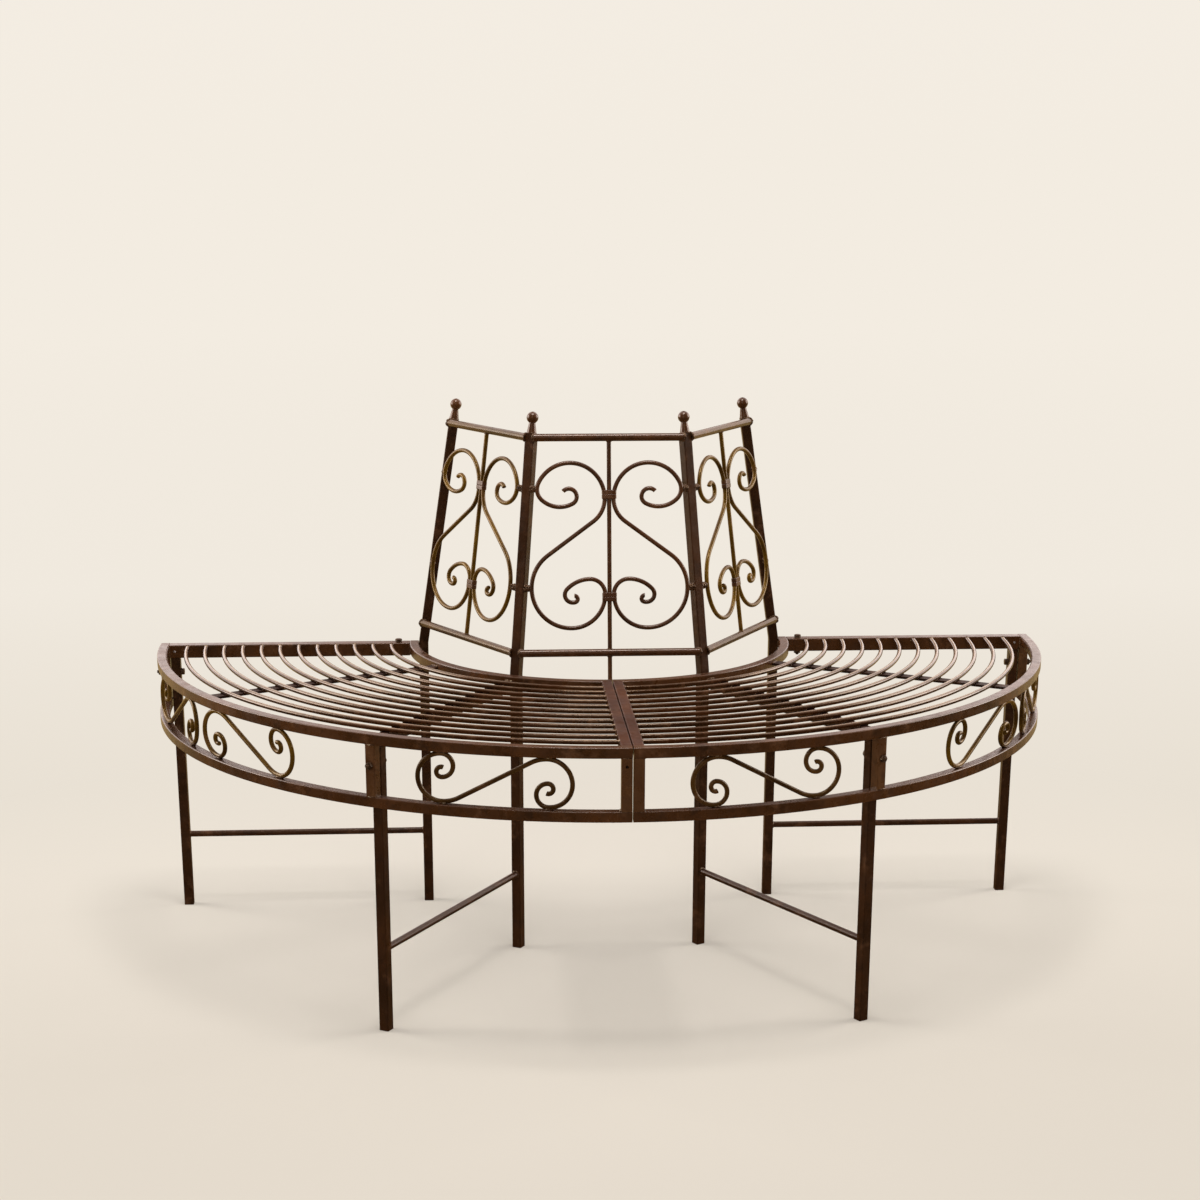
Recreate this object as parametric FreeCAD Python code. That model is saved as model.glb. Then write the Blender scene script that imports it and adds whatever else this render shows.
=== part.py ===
import FreeCAD, Part
import math
import os

V = FreeCAD.Vector
os.makedirs("parts", exist_ok=True)

# A half-round metal bench that stands round a tree. The sitters face outwards.
# +Z is up, +X is the sitters' left to right seen from the front, -Y is the front.
# Angles are seen from above about the trunk: 0 is the right end, 90 the front, 180 the left end.

# overall sizes
rim_radius = 750.0          # outer face of the outer rim
seat_height = 465.0         # top of the rims and of the seat rods
back_depth = 12.0           # how far the straight ends reach behind the arcs' centre
half_gap = 0.75             # half of the slit between the two seat halves
spare = 10.0                # how far a cutting shape reaches past what it cuts

# square bar of the frame
bar = 16.0
bar_corner = 1.8
end_bar = 22.0              # the thicker bar across each back end

# seat
inner_radius = 326.0        # outer face of the inner rim
rod_d = 7.0
rod_count = 12
rod_end_in = 2.0            # the rods stop this far inside the end bar's back face
strap_width = 20.0
strap_thick = 4.0
strap_corner = 0.8
middle_angle = 60.0         # the front leg pairs stand here, and mirrored
strap_angle = 30.0

# apron below the outer rim
apron_rail_top = 371.0
scroll_d = 7.0
scroll_slope = 28.5         # the S scroll's straight middle, degrees off level
scroll_shoulder = 52.0      # then the radii of its turns, from the middle outwards
scroll_curl = 17.5
scroll_hook = 7.5
scroll_inset = 5.0          # a flat scroll's middle lies this far inside the round rim's
bay_angles = (74.6, 39.9, 20.0)

# legs and stretchers
leg_clear = 1.5             # slit between an outer leg and its apron post
leg_radius = rim_radius - 1.5 * bar - leg_clear
post_radius = inner_radius - 1.5 * bar
stretcher_d = 10.5
stretcher_height = 128.0

# back rest
lean = 8.8                  # posts above the seat, degrees off upright
bend_radius = 60.0
rail_d = 12.0
bottom_rail_up = 33.0       # along the leaning back, from the seat's top
top_rail_up = 373.0
panel_out = 8.0             # rails and scrolls stand this far in front of the posts' axes
post_length = 381.0
scroll_start_up = 278.0     # a scroll's two bars meet here, inside the upper collar
scroll_flare = 2.0          # a scroll's outer side stands forward, degrees off the panel
upper_collar_up = 284.0
lower_collar_up = 122.0
collar_height = 7.0
collar_wall = 1.2
collar_round = 0.8
weld_d = 6.6                # plugs of weld between the scrolls and the posts
belly_weld_up = 137.0       # at the scroll's widest place
belly_weld_out = 125.0
curl_weld_up = 293.0        # at its upper curl
curl_weld_out = 115.0

# finials
neck_r = 5.2
skirt_r = 8.0
skirt_length = 16.0
ball_r = 9.4
ball_up = 24.5

# fasteners
bolt_d = 6.0
hole_d = 6.6
head_flats = 10.0
head_thick = 4.0
nut_thick = 5.0
washer_d = 12.0
washer_thick = 1.4
bolt_tail = 2.5
leg_bolt_height = 418.0

# small empty holes: through each end bar, and in the front of the left post at the seam
end_hole_d = 4.5
end_hole_in = 9.0           # from the outer rim's inner face
blind_hole_d = 4.5
blind_hole_depth = 6.0
blind_hole_up = 437.0

# sizes worked out from the ones above
rim_bottom = seat_height - bar
rod_z = seat_height - rod_d / 2
support_top = seat_height - rod_d
end_bar_bottom = seat_height - end_bar
apron_rail_bottom = apron_rail_top - bar
between_rims = rim_radius - bar - inner_radius
rod_step = between_rims / (rod_count + 1)
seam_side = half_gap + bar
end_bolt_x = inner_radius + rod_step * 0.6
end_bolt_y = back_depth - end_bar / 2
end_hole_x = rim_radius - bar - end_hole_in
end_hole_z = seat_height - end_bar / 2
half_panel = 30.0           # the angle from a panel's middle to its posts
lean_rad = math.radians(lean)
chord_depth = math.cos(math.radians(half_panel))
panel_tilt = math.degrees(math.atan(math.tan(lean_rad) * chord_depth))
arc_y = (rim_radius - back_depth) / 2
leg_angles = (0.0, 60.0, 120.0, 180.0)
corner_names = {0.0: "right_end", 60.0: "right_front", 120.0: "left_front", 180.0: "left_end"}
panel_names = {30.0: "right", 90.0: "front", 150.0: "left"}


# helpers: every shape is made at the front, about the arcs' centre, then turned into place
def turned(shape, angle):
    s = shape.copy()
    s.rotate(V(0, 0, 0), V(0, 0, 1), 90.0 - angle)
    return s


def mirrored(shape):
    return shape.mirror(V(0, 0, 0), V(1, 0, 0))


def moved(shape, x=0.0, y=0.0, z=0.0):
    s = shape.copy()
    s.translate(V(x, y, z))
    return s


def write(name, shapes):
    solids = []
    for s in shapes:
        solids.extend(s.Solids)
    shape = Part.makeCompound(solids) if len(solids) > 1 else solids[0]
    shape = moved(shape, y=arc_y)
    shape.exportStep("parts/" + name + ".step")
    print(name, len(solids), "solid(s)", round(shape.Volume / 1000.0, 1), "cm3", shape.isValid())


def rounded_face(width, height, corner):
    # a rectangle with rounded corners in the plane of X and Z, round the origin
    w = width / 2
    h = height / 2
    c = corner
    k = c * (1 - math.sqrt(0.5))
    edges = []
    corners = ((1, 1), (-1, 1), (-1, -1), (1, -1))
    for i, (sx, sz) in enumerate(corners):
        along_x = V(sx * (w - c), 0, sz * h)
        along_z = V(sx * w, 0, sz * (h - c))
        middle = V(sx * (w - k), 0, sz * (h - k))
        first = along_z if i % 2 == 0 else along_x
        last = along_x if i % 2 == 0 else along_z
        edges.append(Part.Arc(first, middle, last).toShape())
        nx, nz = corners[(i + 1) % 4]
        if i % 2 == 0:
            edges.append(Part.LineSegment(last, V(nx * (w - c), 0, nz * h)).toShape())
        else:
            edges.append(Part.LineSegment(last, V(nx * w, 0, nz * (h - c))).toShape())
    return Part.Face(Part.Wire(edges))


def straight_bar(width, height, corner, length):
    # a rounded bar along +Y, from the origin
    return rounded_face(width, height, corner).extrude(V(0, length, 0))


def upright(size, corner, length):
    # a rounded square bar along +Z, from the origin
    s = straight_bar(size, size, corner, length)
    s.rotate(V(0, 0, 0), V(1, 0, 0), 90.0)
    return s


def arc_bar(mid_radius, mid_z, width, height, corner):
    # the right-hand quarter ring from the right end to the front, with its short straight tip
    face = rounded_face(width, height, corner)
    ring = moved(face, x=mid_radius, z=mid_z)
    quarter = ring.revolve(V(0, 0, 0), V(0, 0, 1), -90.0)
    tip = ring.extrude(V(0, back_depth, 0))
    return quarter.fuse(tip).removeSplitter()


def tube_along(edges, radius):
    # a round bar along joined lines and arcs
    wire = Part.Wire(edges)
    start = edges[0].valueAt(edges[0].FirstParameter)
    heading = edges[0].tangentAt(edges[0].FirstParameter)
    circle = Part.Wire([Part.Circle(start, heading, radius).toShape()])
    return wire.makePipeShell([circle], True, False)


def chain(start, heading, steps):
    # joined lines and arcs in the plane of X and Z; a step is ("line", length)
    # or (radius, degrees), and positive degrees turn clockwise seen from the front
    edges = []
    x, z = start
    a = math.radians(heading)
    for step in steps:
        if step[0] == "line":
            nx = x + step[1] * math.cos(a)
            nz = z + step[1] * math.sin(a)
            edges.append(Part.LineSegment(V(x, 0, z), V(nx, 0, nz)).toShape())
        else:
            r, degrees = step
            side = 1 if degrees > 0 else -1
            cx = x + side * r * math.sin(a)
            cz = z - side * r * math.cos(a)
            turn = math.radians(degrees)
            points = []
            for part in (0.5, 1.0):
                b = a - turn * part
                points.append(V(cx - side * r * math.sin(b), 0, cz + side * r * math.cos(b)))
            edges.append(Part.Arc(V(x, 0, z), points[0], points[1]).toShape())
            nx, nz = points[1].x, points[1].z
            a = a - turn
        x, z = nx, nz
    return edges


def hex_prism(flats, thick):
    # a hexagon along +Z, from the origin
    r = flats / math.sqrt(3)
    points = []
    for i in range(7):
        t = math.radians(60 * i)
        points.append(V(r * math.cos(t), r * math.sin(t), 0))
    return Part.Face(Part.makePolygon(points)).extrude(V(0, 0, thick))


def bolt(grip, tail):
    # head below the origin, shank up through the grip, axis +Z
    head = moved(hex_prism(head_flats, head_thick), z=-washer_thick - head_thick)
    washer = Part.makeCylinder(washer_d / 2, washer_thick, V(0, 0, -washer_thick))
    shank = Part.makeCylinder(bolt_d / 2, grip + tail)
    return head.fuse([washer, shank]).removeSplitter()


def nut(grip):
    body = moved(hex_prism(head_flats, nut_thick), z=grip)
    return body.cut(Part.makeCylinder(bolt_d / 2, nut_thick + 2 * spare, V(0, 0, grip - spare)))


def radial(shape, radius, z):
    # turns something made along +Z so that it points outwards at the front
    s = shape.copy()
    s.rotate(V(0, 0, 0), V(1, 0, 0), 90.0)
    return moved(s, y=-radius, z=z)


# outer and inner rims of the seat, and the rail under the apron
outer_rim = arc_bar(rim_radius - bar / 2, seat_height - bar / 2, bar, bar, bar_corner)
inner_rim = arc_bar(inner_radius - bar / 2, seat_height - bar / 2, bar, bar, bar_corner)
apron_rail = arc_bar(rim_radius - bar / 2, apron_rail_top - bar / 2, bar, bar, bar_corner)
slit = Part.makeBox(half_gap, rim_radius + spare, seat_height + spare, V(0, -rim_radius - spare, 0))
outer_rim = outer_rim.cut(slit)
inner_rim = inner_rim.cut(slit)
behind_post = Part.makeBox(bar + 2 * spare, back_depth, bar + 2 * spare)
behind_post = moved(behind_post, rim_radius - bar - spare, bar / 2, apron_rail_bottom - spare)
apron_rail = apron_rail.cut(slit).cut(behind_post)
bolt_hole = Part.makeCylinder(hole_d / 2, bar + 2 * spare, V(0, 0, -spare))


# seam bar of one half, flat against the slit and cut to fit round the rims
def seam_bar_shape():
    bite = bar_corner
    s = straight_bar(bar, bar, bar_corner, between_rims + 2 * bite)
    s = moved(s, half_gap + bar / 2, -(rim_radius - bar) - bite, seat_height - bar / 2)
    return s.cut([outer_rim, inner_rim])


# seat rods: straight over the end bar, then a quarter circle to the seam bar
def rod_shape(radius):
    start = V(radius, back_depth - rod_end_in, rod_z)
    corner = V(radius, 0, rod_z)
    t = math.radians(45)
    middle = V(radius * math.cos(t), -radius * math.sin(t), rod_z)
    last = V(0, -radius, rod_z)
    edges = [Part.LineSegment(start, corner).toShape(), Part.Arc(corner, middle, last).toShape()]
    s = tube_along(edges, rod_d / 2)
    over_seam_bar = Part.makeBox(seam_side + spare, 2 * bar, 2 * bar)
    return s.cut(moved(over_seam_bar, -spare, -radius - bar, rod_z - bar))


rods = [rod_shape(inner_radius + rod_step * (i + 1)) for i in range(rod_count)]


# end bar between the rims, with the rods let into its top
def end_bar_shape():
    s = straight_bar(end_bar, end_bar, bar_corner, between_rims)
    s.rotate(V(0, 0, 0), V(0, 0, 1), -90.0)
    s = moved(s, inner_radius, back_depth - end_bar / 2, seat_height - end_bar / 2)
    through = end_bar + 2 * spare
    down = Part.makeCylinder(hole_d / 2, through, V(end_bolt_x, end_bolt_y, end_bar_bottom - spare))
    front = back_depth - end_bar - spare
    across = Part.makeCylinder(end_hole_d / 2, through, V(end_hole_x, front, end_hole_z), V(0, 1, 0))
    return s.cut(rods + [down, across])


# ring of space between the rims: what spans them is trimmed to it
between = Part.makeCylinder(rim_radius - bar, seat_height)
between = between.cut(Part.makeCylinder(inner_radius, seat_height))


def strap_shape():
    s = straight_bar(strap_width, strap_thick, strap_corner, rim_radius)
    s = moved(s, 0, -rim_radius, support_top - strap_thick / 2)
    return turned(s, strap_angle).common(between)


def support_shape():
    s = straight_bar(bar, bar, bar_corner, rim_radius)
    s = moved(s, 0, -rim_radius, support_top - bar / 2)
    return turned(s, middle_angle).common(between)


# short posts between the outer rim and the apron rail
def apron_posts():
    post = upright(bar, bar_corner, rim_bottom - apron_rail_top)
    post = moved(post, 0, -(rim_radius - bar / 2), apron_rail_top)
    drilled = post.cut(radial(bolt_hole, rim_radius - bar, leg_bolt_height))
    at_seam = moved(post, half_gap + bar / 2)
    return [turned(drilled, 0.0), turned(drilled, middle_angle), at_seam]


# the small hole in the left post at the seam
def blind_hole():
    at = V(-half_gap - bar / 2, -rim_radius, blind_hole_up)
    return Part.makeCylinder(blind_hole_d / 2, blind_hole_depth, at, V(0, 1, 0))


# apron scroll: one S, alike when turned half round, set between the rim and the rail
def apron_scroll():
    height = (rim_bottom - apron_rail_top) / 2 - scroll_d / 2
    a = math.radians(scroll_slope)
    run = (height - scroll_shoulder * (1 - math.cos(a))) / math.sin(a)
    turns = [("line", run), (scroll_shoulder, scroll_slope), (height, 180)]
    turns += [(scroll_curl, 180), (scroll_hook, 200)]
    half = tube_along(chain((0, 0), scroll_slope, turns), scroll_d / 2)
    other = half.copy()
    other.rotate(V(0, 0, 0), V(0, 1, 0), 180.0)
    s_shape = half.fuse(other).removeSplitter()
    plane = rim_radius - bar / 2 - scroll_inset
    return moved(s_shape, 0, -plane, (rim_bottom + apron_rail_top) / 2)


def apron_scrolls():
    # the right-hand half; its first and third scrolls are mirror images of the second
    s = apron_scroll()
    first, second, third = bay_angles
    return [turned(mirrored(s), first), turned(s, second), turned(mirrored(s), third)]


# outer leg, under the seat just inside its apron post
def outer_leg(top):
    leg = upright(bar, bar_corner, top)
    leg = moved(leg, 0, -leg_radius)
    return leg.cut(radial(bolt_hole, leg_radius - bar / 2, leg_bolt_height))


# back post: inner leg and leaning back upright, bent from one bar
def back_post():
    tangent = bend_radius * math.tan(lean_rad / 2)
    up = V(0, math.sin(lean_rad), math.cos(lean_rad))
    elbow = V(0, -post_radius, seat_height)
    low = V(0, -post_radius, 0)
    before = elbow - V(0, 0, tangent)
    after = elbow + up * tangent
    centre = before + V(0, bend_radius, 0)
    h = lean_rad / 2
    middle = centre + V(0, -bend_radius * math.cos(h), bend_radius * math.sin(h))
    end = elbow + up * post_length
    path = Part.Wire([
        Part.LineSegment(low, before).toShape(),
        Part.Arc(before, middle, after).toShape(),
        Part.LineSegment(after, end).toShape(),
    ])
    profile = rounded_face(bar, bar, bar_corner)
    profile.rotate(V(0, 0, 0), V(1, 0, 0), 90.0)
    wire = moved(profile.OuterWire, 0, -post_radius)
    return path.makePipeShell([wire], True, False)


def on_post(shape, along):
    # sets something made along +Z on the leaning part of a post, this far above the seat
    s = shape.copy()
    s.rotate(V(0, 0, 0), V(1, 0, 0), -lean)
    up = V(0, math.sin(lean_rad), math.cos(lean_rad)) * along
    return moved(s, 0, up.y - post_radius, up.z + seat_height)


def finial():
    # a turned knob: tapered skirt, waist and ball
    skirt = Part.makeCone(skirt_r, neck_r, skirt_length)
    neck = Part.makeCylinder(neck_r, ball_up - skirt_length, V(0, 0, skirt_length))
    ball = Part.makeSphere(ball_r, V(0, 0, ball_up))
    return on_post(skirt.fuse([neck, ball]).removeSplitter(), post_length)


def stretcher():
    length = leg_radius - post_radius - bar
    start = V(0, bar / 2 - leg_radius, stretcher_height)
    return Part.makeCylinder(stretcher_d / 2, length, start, V(0, 1, 0))


# the back's three flat panels, each made upright at the front and then leant back
def leant(shape, angle):
    s = moved(shape, 0, -panel_out)
    s.rotate(V(0, 0, 0), V(1, 0, 0), -panel_tilt)
    s = moved(s, 0, -post_radius * chord_depth, seat_height)
    return turned(s, angle)


def post_slab(angle):
    # the thickness of a leaning post, drawn out front and back, to trim what meets its flanks
    reach = bar * 3
    slab = Part.makeBox(bar, 2 * reach, post_length + 2 * reach, V(-bar / 2, -reach, -reach))
    return turned(on_post(slab, 0.0), angle)


def half_chord(up):
    # from a panel's middle to a post's axis, this far up the back
    return (post_radius - up * math.sin(lean_rad)) * math.sin(math.radians(half_panel))


def rail(angle, up):
    reach = half_chord(up)
    s = Part.makeCylinder(rail_d / 2, 2 * reach, V(-reach, 0, up), V(1, 0, 0))
    return leant(s, angle).cut([post_slab(angle - half_panel), post_slab(angle + half_panel)])


def centre_bar(angle):
    # the front panel's bar runs on below its rail, down to the rims' underside
    foot = -bar if angle == 90.0 else bottom_rail_up
    s = Part.makeCylinder(scroll_d / 2, top_rail_up - foot, V(0, 0, foot))
    for up in (bottom_rail_up, top_rail_up):
        s = s.cut(Part.makeCylinder(rail_d / 2, 4 * rail_d, V(-2 * rail_d, 0, up), V(1, 0, 0)))
    return leant(s, angle)


def lyre_scroll():
    # right-hand scroll of a panel: from the upper collar one end winds up and out into a curl,
    # the other swings out, round a wide belly and back up the middle bar into a hanging curl
    shoulder_r = 45.0
    slope = 36.0
    belly_r = 64.0
    bottom_r = 54.0
    a = math.radians(slope)
    shoulder_x = scroll_d + shoulder_r * (1 - math.sin(a))
    belly_x = scroll_d + bottom_r + belly_r * math.sin(a)
    run = (belly_x - shoulder_x) / math.cos(a)
    upper = [(55.5, 154), (22.5, 74), (43.0, 70), (12.5, 200)]
    lower = [(shoulder_r, slope - 90), ("line", run), (belly_r, 180 - slope), (bottom_r, 90)]
    lower += [(24.0, 90), (52.0, 46), (12.5, 115), (14.0, 35), (5.2, 165)]
    start = (scroll_d, scroll_start_up)
    up_tube = tube_along(chain(start, 90.0, upper), scroll_d / 2)
    down_tube = tube_along(chain(start, -90.0, lower), scroll_d / 2)
    s = up_tube.fuse(down_tube).removeSplitter()
    s.rotate(V(scroll_d, 0, 0), V(0, 0, 1), -scroll_flare)
    return s


def obround(half_width, r, height, z):
    # an upright slab with round ends, as wide as the bars it goes round
    core = Part.makeBox(2 * half_width, 2 * r, height, V(-half_width, -r, z))
    ends = [Part.makeCylinder(r, height, V(side * half_width, 0, z)) for side in (-1, 1)]
    return core.fuse(ends).removeSplitter()


def collar(up):
    # two turns of strip round the middle bar and both scrolls, one above the other
    turns = []
    for z in (up - collar_height, up):
        turn = obround(scroll_d, scroll_d / 2 + collar_wall, collar_height, z)
        rims = [e for e in turn.Edges if e.BoundBox.ZLength < 1e-6]
        turns.append(turn.makeFillet(collar_round, rims))
    strip = turns[0].fuse(turns[1]).removeSplitter()
    return strip.cut(obround(scroll_d, scroll_d / 2, 4 * collar_height, up - 2 * collar_height))


def weld_stub(up, out, angle, side):
    # a short weld from a scroll's bar to the nearest flank of the post beside it
    a = math.radians(half_panel)
    forward = (out - scroll_d) * math.tan(math.radians(scroll_flare))
    start = V(out, -forward, up)
    s = Part.makeCylinder(weld_d / 2, half_chord(up) - out, start, V(math.cos(a), math.sin(a), 0))
    s = s if side > 0 else mirrored(s)
    return leant(s, angle).cut(post_slab(angle - half_panel * side))


# write the seat's two halves
scrolls = apron_scrolls()
halves = {
    "outer_rim": [outer_rim],
    "inner_rim": [inner_rim],
    "seat_rods": rods,
    "end_bar": [end_bar_shape()],
    "seam_bar": [seam_bar_shape()],
    "rod_strap": [strap_shape()],
    "seat_support": [support_shape()],
    "apron_rail": [apron_rail],
    "apron_posts": apron_posts(),
    "apron_scroll_front": [scrolls[0]],
    "apron_scroll_middle": [scrolls[1]],
    "apron_scroll_end": [scrolls[2]],
}
for name, shapes in halves.items():
    write("right_" + name, shapes)
    other = [mirrored(s) for s in shapes]
    if name == "apron_posts":
        other = [s.cut(blind_hole()) for s in other]
    write("left_" + name, other)

# write the legs, posts and stretchers
post = back_post()
for a in leg_angles:
    at_end = a in (0.0, 180.0)
    top = end_bar_bottom if at_end else support_top - bar
    write("outer_leg_" + corner_names[a], [turned(outer_leg(top), a)])
    write("back_post_" + corner_names[a], [turned(post, a)])
    write("stretcher_" + corner_names[a], [turned(stretcher(), a)])
write("finials", [turned(finial(), a) for a in leg_angles])

# write the back panels
lyre = lyre_scroll()
collars = []
welds = []
for a, name in panel_names.items():
    write("back_top_rail_" + name, [rail(a, top_rail_up)])
    write("back_bottom_rail_" + name, [rail(a, bottom_rail_up)])
    write("back_centre_bar_" + name, [centre_bar(a)])
    write("back_scroll_" + name + "_a", [leant(lyre, a)])
    write("back_scroll_" + name + "_b", [leant(mirrored(lyre), a)])
    collars.append(leant(collar(upper_collar_up), a))
    collars.append(leant(collar(lower_collar_up), a))
    for side in (-1, 1):
        tube = leant(lyre if side > 0 else mirrored(lyre), a)
        for up, out in ((belly_weld_up, belly_weld_out), (curl_weld_up, curl_weld_out)):
            plug = weld_stub(up, out, a, side).cut(tube)
            welds.append(max(plug.Solids, key=lambda piece: piece.Volume))
write("scroll_collars", collars)
write("scroll_welds", welds)

# write the fasteners
leg_grip = 2 * bar + leg_clear
leg_start = leg_radius - bar / 2
one = radial(bolt(leg_grip, nut_thick + bolt_tail), leg_start, leg_bolt_height)
write("leg_bolts", [turned(one, a) for a in leg_angles])
one = radial(nut(leg_grip), leg_start, leg_bolt_height)
write("leg_nuts", [turned(one, a) for a in leg_angles])
end_parts = []
for s in (bolt(end_bar, nut_thick + bolt_tail), nut(end_bar)):
    s.rotate(V(0, 0, 0), V(1, 0, 0), 180.0)
    end_parts.append(moved(s, end_bolt_x, end_bolt_y, seat_height))
write("end_bar_bolts", end_parts + [mirrored(s) for s in end_parts])
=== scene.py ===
# %% [markdown]
# # A half-round tree bench
#
# This lesson dresses a garden bench of welded steel. It stands round a tree, so its seat is a
# half ring, and its back rest is a fence of scrollwork on four posts.
# The solid model comes from CAD and is loaded as a fixed frame: it is never moved or reshaped.
# Blender adds what a welder and a paint shop add: weld beads, threads on the bolts, and a dark
# bronze powder coat with its small faults.

# %% Load the frame
import math
import random

import bmesh
import bpy
from mathutils import Matrix, Vector


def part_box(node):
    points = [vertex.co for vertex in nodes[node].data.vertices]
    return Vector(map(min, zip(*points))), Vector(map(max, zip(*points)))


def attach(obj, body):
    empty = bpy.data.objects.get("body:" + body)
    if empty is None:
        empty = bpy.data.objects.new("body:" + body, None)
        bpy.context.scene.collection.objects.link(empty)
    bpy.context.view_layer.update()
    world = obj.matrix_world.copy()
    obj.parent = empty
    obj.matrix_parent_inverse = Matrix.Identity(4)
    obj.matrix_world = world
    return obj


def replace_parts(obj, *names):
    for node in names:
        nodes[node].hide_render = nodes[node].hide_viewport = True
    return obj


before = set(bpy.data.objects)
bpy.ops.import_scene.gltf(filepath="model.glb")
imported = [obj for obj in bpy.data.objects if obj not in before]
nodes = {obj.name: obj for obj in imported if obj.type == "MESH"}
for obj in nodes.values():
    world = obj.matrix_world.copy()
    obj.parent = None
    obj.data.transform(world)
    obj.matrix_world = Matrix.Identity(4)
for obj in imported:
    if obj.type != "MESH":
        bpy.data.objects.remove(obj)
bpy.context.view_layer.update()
print("CAD nodes:", len(nodes))

# %% [markdown]
# The main sizes are measured from the loaded pieces, so that the dressing follows the frame. The
# rims, posts and legs are all of one square bar. Each half of the seat has twelve rods, evenly
# spaced between its two rims.

# %% Measure the frame
rim_low, rim_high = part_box("right_outer_rim")
seam_low, seam_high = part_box("right_seam_bar")
stretcher_low, stretcher_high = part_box("stretcher_left_end")
RIM_BOTTOM = rim_low.z
RIM_TOP = rim_high.z
BAR = RIM_TOP - RIM_BOTTOM
OUTER = rim_high.x
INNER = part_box("right_inner_rim")[1].x
CENTRE_Y = rim_low.y + OUTER
APRON_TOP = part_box("right_apron_rail")[1].z
SUPPORT_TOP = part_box("right_seat_support")[1].z
SEAM_GAP = seam_low.x
SEAM_SIDE = seam_high.x
ROD = RIM_TOP - SUPPORT_TOP
ROD_COUNT = 12
ROD_STEP = (OUTER - BAR - INNER) / (ROD_COUNT + 1)
ROD_RADII = [INNER + ROD_STEP * (i + 1) for i in range(ROD_COUNT)]
LEG_IN = -stretcher_low.x
POST_OUT = INNER - BAR
STRETCHER_Z = (stretcher_low.z + stretcher_high.z) / 2
STRETCHER_R = (stretcher_high.z - stretcher_low.z) / 2
print("bar", round(BAR, 4), "rod", round(ROD, 4), "rims", round(INNER, 3), round(OUTER, 3))

# %% [markdown]
# The bench is laid out on circles. Their common centre is the middle of the tree, and every
# place on the bench is easiest to say as a radius, an angle and a height. Angle 0 is the right
# end, 90 the front and 180 the left end. The four leg pairs stand 60 degrees apart.

# %% Places round the tree
UP = Vector((0, 0, 1))
TO_RIGHT = Vector((1, 0, 0))
TO_BACK = Vector((0, 1, 0))
PAIR_ANGLES = (0, 60, 120, 180)


def place(radius, degrees, z):
    """A point of the bench from its radius, angle and height."""
    angle = math.radians(degrees)
    return Vector((radius * math.cos(angle), CENTRE_Y - radius * math.sin(angle), z))


def outwards(degrees):
    """The direction away from the tree at this angle."""
    angle = math.radians(degrees)
    return Vector((math.cos(angle), -math.sin(angle), 0))


def along(degrees):
    """The direction along the rims at this angle, towards greater angles."""
    angle = math.radians(degrees)
    return Vector((-math.sin(angle), -math.cos(angle), 0))


print("front of the outer rim:", [round(v, 3) for v in place(OUTER, 90, RIM_TOP)])

# %% [markdown]
# ## Finishes
#
# The steel is powder coated in a dark bronze brown. Seen close, such a coat is not one colour.
# It is a little redder where it is thin and darker where it has pooled, it has the fine bumps of
# baked powder, and outdoors it gathers dust and small rubbed patches.
# All of this is made with shader nodes. A material needs the same few nodes again and again, so
# the first helpers make a colour, an empty material and the link between two nodes.

# %% Colours and empty materials
def linear(r, g, b):
    """A colour written as 0 to 255 in a picture, turned into the shader's linear numbers."""
    def one(v):
        v = v / 255
        return v / 12.92 if v <= 0.04045 else ((v + 0.055) / 1.055) ** 2.4
    return (one(r), one(g), one(b), 1.0)


def new_material(name):
    """An empty node material with its tree, its shader and its texture coordinates."""
    mat = bpy.data.materials.new(name)
    mat.use_nodes = True
    tree = mat.node_tree
    shader = tree.nodes["Principled BSDF"]
    coords = tree.nodes.new("ShaderNodeTexCoord")
    return mat, tree, shader, coords


def feed(tree, value, socket):
    """Sets a socket to a colour, or links it to another node's output."""
    if isinstance(value, tuple):
        socket.default_value = value
    else:
        tree.links.new(value, socket)


print("mid grey in the shader's numbers:", round(linear(128, 128, 128)[0], 3))

# %% [markdown]
# Small sums with the values that run between nodes: stretched, scaled, joined with another, or
# without their sign.

# %% Sums with values
def ramp(tree, value, low, high):
    """Stretches a value so that low gives 0 and high gives 1."""
    node = tree.nodes.new("ShaderNodeMapRange")
    node.inputs["From Min"].default_value = low
    node.inputs["From Max"].default_value = high
    tree.links.new(value, node.inputs["Value"])
    return node.outputs["Result"]


def scaled(tree, value, factor, offset=0.0):
    """value * factor + offset."""
    node = tree.nodes.new("ShaderNodeMath")
    node.operation = "MULTIPLY_ADD"
    node.inputs[1].default_value = factor
    node.inputs[2].default_value = offset
    tree.links.new(value, node.inputs[0])
    return node.outputs[0]


def joined(tree, operation, a, b):
    """Two values joined: MULTIPLY for two masks, ADD for two heights."""
    node = tree.nodes.new("ShaderNodeMath")
    node.operation = operation
    tree.links.new(a, node.inputs[0])
    tree.links.new(b, node.inputs[1])
    return node.outputs[0]


def unsigned(tree, value):
    """A value without its sign."""
    node = tree.nodes.new("ShaderNodeMath")
    node.operation = "ABSOLUTE"
    tree.links.new(value, node.inputs[0])
    return node.outputs[0]


def coordinate(tree, vector, letter):
    """One coordinate of a vector: X, Y or Z."""
    node = tree.nodes.new("ShaderNodeSeparateXYZ")
    tree.links.new(vector, node.inputs["Vector"])
    return node.outputs[letter]


print("value helpers: ramp, scaled, joined, unsigned, coordinate")

# %% [markdown]
# Each fault of a coat is a noise texture at its own scale. It is laid out in object space, so
# that the pattern keeps its true size on every piece. A narrow stretch of the noise's values
# turns it into patches with soft edges, and the patches then say where one colour lies over
# another. Dust and wear also need to know which faces look up.

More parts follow.
